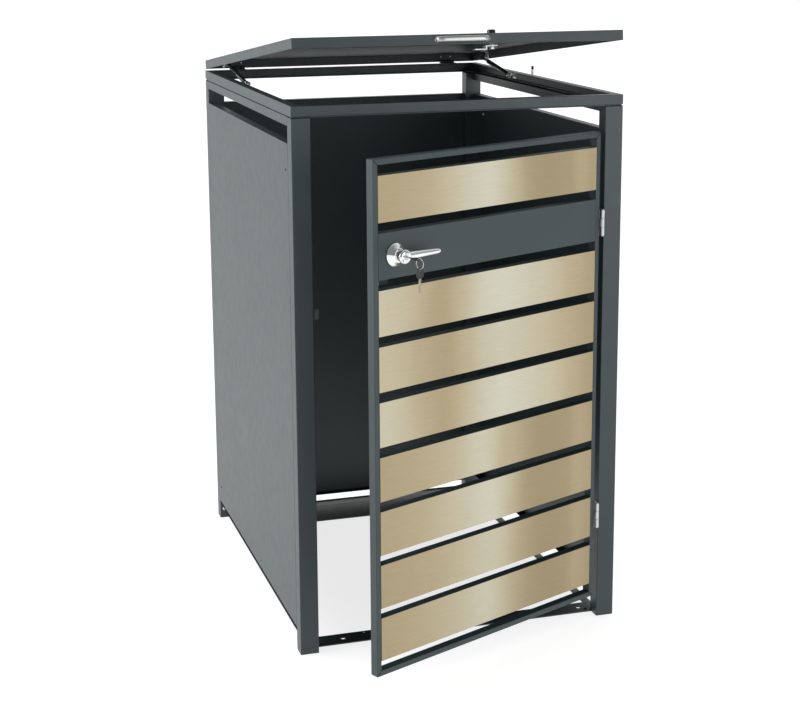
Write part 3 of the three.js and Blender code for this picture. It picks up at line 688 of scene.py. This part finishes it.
def domed_screw(name, place, radius, tall, mat, body, slot):
    """A domed screw head with a round recess, standing on its place's z axis."""
    socket = radius * 0.45
    turned_piece(name, [
        (0, 0), (radius, 0), (radius * 0.96, tall * 0.45), (radius * 0.72, tall * 0.85), (socket, tall),
        (socket * 0.9, tall * 0.45), (0, tall * 0.45),
    ], mat, body, place, 0.15 * MM, 24, slot=slot)


HANDS = (("left", -1), ("right", 1))
PANEL_OUTSIDE, PANEL_INSIDE = 0.362, 0.3608  # faces of a side panel, from the housing's middle
SIDE_SCREWS = (("upper", 0.003, 1.040), ("lower", 0.820, 0.092))  # y and z on the side panels
PANEL_NUT_Y, PANEL_NUT_Z = 0.817, 1.043
FOOT_BOLT_X, FOOT_BOLT_Y, FOOT_BOLT_Z = 0.352, 0.8437, 0.024  # on the rear posts' front faces
FLOOR_BOLT_X, FLOOR_BOLT_ROWS, FLOOR_PLATE_TOP = 0.312, (-0.012, 0.862), 0.003


def add_panel_screws():
    """Screws and nuts in the side panels, and bolts at the rear posts' feet."""
    for hand, sign in HANDS:
        for level, y, z in SIDE_SCREWS:
            place = facing((sign * PANEL_OUTSIDE, y, z), (sign, 0, 0))
            domed_screw(f"side_screw_{level}_{hand}", place, 2.6 * MM, 1.4 * MM, LACQUER, "enclosure",
                        "black")
        inside = facing((sign * PANEL_INSIDE, PANEL_NUT_Y, PANEL_NUT_Z), (-sign, 0, 0))
        domed_screw(f"panel_nut_{hand}", inside, 4.2 * MM, 3.4 * MM, ZINC, "enclosure", "bare_steel")
        foot = facing((sign * FOOT_BOLT_X, FOOT_BOLT_Y, FOOT_BOLT_Z), (0, -1, 0))
        domed_screw(f"foot_bolt_{hand}", foot, 5.0 * MM, 3.2 * MM, ZINC, "enclosure", "bare_steel")


def add_floor_bolts():
    """Coated bolt heads that hold the floor plates at the four corners."""
    corners = [(sign * FLOOR_BOLT_X, y) for y in FLOOR_BOLT_ROWS for sign in (-1, 1)]
    for number, (x, y) in enumerate(corners, 1):
        place = facing((x, y, FLOOR_PLATE_TOP), (0, 0, 1))
        domed_screw(f"floor_bolt_{number}", place, 4.0 * MM, 2.4 * MM, COAT, "enclosure", "anthracite")


def add_door_pin_ends():
    """Domed ends of the door hinges' pins."""
    profile = [(0, 0), (3.0 * MM, 0), (2.7 * MM, 1.0 * MM), (1.4 * MM, 1.8 * MM), (0, 2.0 * MM)]
    for level in ("lower", "upper"):
        low, high = (Vector(corner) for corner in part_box(f"door_hinge_{level}_post"))
        for end, z, way in (("top", high.z, 1), ("bottom", low.z, -1)):
            place = facing((HINGE.x, HINGE.y, z), (0, 0, way))
            turned_piece(f"door_pin_{level}_{end}", profile, ZINC, "enclosure", place, 0.2 * MM, 32,
                         slot="bare_steel")


# ---- Gas struts and their brackets ------------------------------------------------------------
def strut_frame(hand):
    """The strut's own frame: origin at its lower stud, y along the rod, x to the right."""
    joint = JOINTS[f"strut_{hand}_tilt"]
    along = Vector(JOINTS[f"strut_{hand}_slide"]["axis"]).normalized()
    up = Vector((1, 0, 0)).cross(along)
    axes = Matrix((Vector((1, 0, 0)), along, up)).transposed().to_4x4()
    return Matrix.Translation(Vector(joint["pos_m"])) @ axes


EYE_RADIUS, EYE_HOLE, EYE_HALF_WIDTH = 6.9 * MM, 3.4 * MM, 3.9 * MM
EYE_EDGE = 1.0 * MM
TUBE_RADIUS, ROD_RADIUS = 5.4 * MM, 2.45 * MM
EYE_FROM_END = 7 * MM  # middle of the upper eye, from the CAD rod's end


def eye_mesh():
    """A ring about x with rounded rims, for a stud."""
    half, rim = EYE_HALF_WIDTH, EYE_HALF_WIDTH - EYE_EDGE
    mesh = lathe_mesh("eye", [
        (EYE_HOLE, -half), (EYE_RADIUS - EYE_EDGE, -half), (EYE_RADIUS, -rim), (EYE_RADIUS, rim),
        (EYE_RADIUS - EYE_EDGE, half), (EYE_HOLE, half), (EYE_HOLE, -half),
    ], 40)
    mesh.transform(Matrix.Rotation(math.pi / 2, 4, "Y"))
    return mesh


def along_y(name, profile, segments=32):
    """A turned solid about y."""
    mesh = lathe_mesh(name, profile, segments)
    mesh.transform(Matrix.Rotation(-math.pi / 2, 4, "X"))
    return mesh


def add_strut_tube(hand, place, body):
    """The black tube with its rolled neck, its lower shank and its lower eye."""
    end = local_box(f"strut_{hand}_cylinder", place)[1].y
    tube = along_y("body", [
        (0, 12 * MM), (3.2 * MM, 12 * MM), (4.4 * MM, 14 * MM), (TUBE_RADIUS, 17 * MM),
        (TUBE_RADIUS, end - 9 * MM), (5.0 * MM, end - 8.2 * MM), (5.0 * MM, end - 7.4 * MM),
        (TUBE_RADIUS, end - 6.6 * MM), (TUBE_RADIUS, end - 2.2 * MM), (4.2 * MM, end - 0.5 * MM),
        (2.9 * MM, end - 0.2 * MM), (2.9 * MM, end - 3 * MM), (0, end - 3 * MM),
    ], 48)
    new_piece(f"strut_{hand}_body", tube, LACQUER, body, slot="black", place=place,
              replaces=[f"strut_{hand}_cylinder"])
    new_piece(f"strut_{hand}_lower_eye", eye_mesh(), ZINC, body, slot="bare_steel", place=place)
    shank = along_y("shank", rod_profile(3.3 * MM, 5.5 * MM, 13 * MM))
    new_piece(f"strut_{hand}_lower_shank", shank, ZINC, body, slot="bare_steel", place=place)


def add_strut_rod(hand, place, upper, start, reach, body):
    """The rod, the eye at its upper end and the collar between them."""
    rod = along_y("rod", [
        (0, start), (2.2 * MM, start), (ROD_RADIUS, start + 0.8 * MM), (ROD_RADIUS, reach - 9 * MM),
        (0, reach - 9 * MM),
    ])
    new_piece(f"strut_{hand}_ground_rod", rod, BLACK_ROD, body, slot="bare_steel", place=place,
              replaces=[f"strut_{hand}_rod"])
    new_piece(f"strut_{hand}_upper_eye", eye_mesh(), DARK_STEEL, body, slot="bare_steel", place=upper)
    collar = along_y("collar", [
        (0, -17.5 * MM), (3.0 * MM, -17.5 * MM), (3.4 * MM, -16.5 * MM), (3.4 * MM, -5.5 * MM),
        (0, -5.5 * MM),
    ])
    new_piece(f"strut_{hand}_upper_shank", collar, DARK_STEEL, body, slot="bare_steel", place=upper)


def add_strut(hand, sign):
    """One gas strut, with spring clips round its eyes and the lower stud's rounded head."""
    place = strut_frame(hand)
    tube, piston = f"strut_{hand}_tube", f"strut_{hand}_piston"
    low, high = local_box(f"strut_{hand}_rod", place)
    reach = high.y - EYE_FROM_END
    upper = place @ Matrix.Translation((0, reach, 0))
    add_strut_tube(hand, place, tube)
    add_strut_rod(hand, place, upper, low.y, reach, piston)

    beside = Matrix.Translation((-sign * 3.2 * MM, 0, 0))
    for end_name, eye, body in (("lower", place, tube), ("upper", upper, piston)):
        clip = ring_mesh("clip", 6.6 * MM, 0.55 * MM, 10, 40)
        clip.transform(Matrix.Rotation(math.pi / 2, 4, "Y"))
        new_piece(f"strut_{hand}_{end_name}_clip", clip, ROD_CHROME, body, slot="bare_steel",
                  place=eye @ beside)
    stud = place.translation
    head = facing((stud.x - sign * EYE_RADIUS, stud.y, stud.z), (-sign, 0, 0))
    profile = [(0, 0), (4.6 * MM, 0), (4.4 * MM, 1.2 * MM), (2.6 * MM, 2.2 * MM), (0, 2.4 * MM)]
    turned_piece(f"strut_{hand}_stud_head", profile, ZINC, "enclosure", head, 0.2 * MM, 32, slot="bare_steel")


BRACKET_FACE = 0.3397  # inner face of a strut bracket's plate, from the housing's middle


def add_bracket_screws():
    """Two screws in each strut bracket, and two in each lid hinge's moving leaf."""
    for hand, sign in HANDS:
        low, high = (Vector(corner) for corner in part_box(f"strut_{hand}_bracket"))
        level = (low.z + high.z) / 2 - 2 * MM
        for number, y in enumerate((low.y + 3.6 * MM, high.y - 3.6 * MM), 1):
            place = facing((sign * BRACKET_FACE, y, level), (-sign, 0, 0))
            domed_screw(f"bracket_{hand}_screw_{number}", place, 2.2 * MM, 1.3 * MM, ZINC, "enclosure",
                        "bare_steel")
        low, high = local_box(f"lid_hinge_{hand}_leaf", LID)
        outwards = LID.to_3x3() @ Vector((0, -1, 0))
        for number, share in enumerate((0.16, 0.84), 1):
            x = low.x + (high.x - low.x) * share
            spot = LID @ Vector((x, high.y - 1.7 * MM, high.z - 6 * MM))
            domed_screw(f"lid_leaf_{hand}_screw_{number}", facing(spot, outwards), 2.4 * MM, 1.2 * MM, ZINC,
                        "lid", "bare_steel")


add_lid_handle()
add_lid_lock()
add_rest_pin()
add_panel_screws()
add_floor_bolts()
add_door_pin_ends()
for hand, sign in HANDS:
    add_strut(hand, sign)
add_bracket_screws()

# ---- Stage, camera and light ------------------------------------------------------------------
CAMERA_PLACE = Vector((-1.1235, -3.2938, 1.5195))
CAMERA_TURN = -0.29569  # this and the next two in radians
CAMERA_PITCH = -0.20471
CAMERA_ROLL = -0.0061
CAMERA_FOCAL = 2.08183  # of the picture's width
CAMERA_SHIFT = -0.10  # of the picture's width


def add_camera():
    data = bpy.data.cameras.new("camera")
    data.sensor_fit = "HORIZONTAL"
    data.sensor_width = 36
    data.lens = CAMERA_FOCAL * data.sensor_width
    data.shift_y = CAMERA_SHIFT
    camera = bpy.data.objects.new("camera", data)
    bpy.context.scene.collection.objects.link(camera)
    turn, pitch, roll = CAMERA_TURN, CAMERA_PITCH, CAMERA_ROLL
    forward = Vector((-math.sin(turn) * math.cos(pitch), math.cos(turn) * math.cos(pitch), math.sin(pitch)))
    right = Vector((math.cos(turn), math.sin(turn), 0))
    up = right.cross(forward)
    right, up = (
        math.cos(roll) * right + math.sin(roll) * up,
        -math.sin(roll) * right + math.cos(roll) * up,
    )
    axes = Matrix((right, up, -forward)).transposed().to_4x4()
    camera.matrix_world = Matrix.Translation(CAMERA_PLACE) @ axes
    bpy.context.scene.camera = camera


def add_light(name, place, target, size, power):
    data = bpy.data.lights.new(name, "AREA")
    data.shape = "RECTANGLE"
    data.size, data.size_y = size
    data.energy = power
    light = bpy.data.objects.new(name, data)
    bpy.context.scene.collection.objects.link(light)
    light.location = place
    light.rotation_mode = "QUATERNION"
    light.rotation_quaternion = (Vector(target) - Vector(place)).to_track_quat("-Z", "Z")


FLOOR_REACH = 40  # from the floor's middle to each edge, far enough to fill every view
FLOOR_DROP = 0.0005  # below the feet, so that no two faces lie in one plane


def add_floor():
    mat, tree, shader = material("floor")
    vector = object_space(tree)
    tone = ramp(tree, noise(tree, vector, 2.0), [(0.3, grey(0.46)), (0.7, grey(0.50))])
    tree.links.new(tone, shader.inputs["Base Color"])
    shader.inputs["Roughness"].default_value = 0.9
    shader.inputs["Emission Color"].default_value = (1, 1, 1, 1)
    shader.inputs["Emission Strength"].default_value = 0.78

    def build(bm):
        bmesh.ops.create_grid(bm, x_segments=2, y_segments=2, size=FLOOR_REACH)
    mesh = mesh_from("floor", build)
    floor = bpy.data.objects.new("floor", mesh)
    floor.data.materials.append(mat)
    floor.location = (0, 0.4, -FLOOR_DROP)
    bpy.context.scene.collection.objects.link(floor)


def add_world():
    """An even white surround, dimmer behind the camera so that the coat keeps its contrast."""
    world = bpy.data.worlds.new("studio")
    world.use_nodes = True
    tree = world.node_tree
    background = tree.nodes["Background"]
    background.inputs["Color"].default_value = (1, 1, 1, 1)
    coord = add_node(tree, "ShaderNodeTexCoord")
    split = add_node(tree, "ShaderNodeSeparateXYZ")
    tree.links.new(coord.outputs["Generated"], split.inputs["Vector"])
    levels = {"From Min": -0.6, "From Max": 0.5, "To Min": 0.25, "To Max": 1.0}
    glow = add_node(tree, "ShaderNodeMapRange", levels, interpolation_type="SMOOTHSTEP")
    tree.links.new(split.outputs["Y"], glow.inputs["Value"])
    tree.links.new(glow.outputs["Result"], background.inputs["Strength"])
    bpy.context.scene.world = world


bpy.context.scene.view_settings.view_transform = "Standard"
add_camera()
add_floor()
add_world()
add_light("key_left", (-3.4, 0.4, 1.9), (0, 0.4, 0.6), (2.0, 2.4), 60)
add_light("fill_front", (1.9, -3.4, 1.4), (0, 0.0, 0.6), (2.2, 2.2), 40)
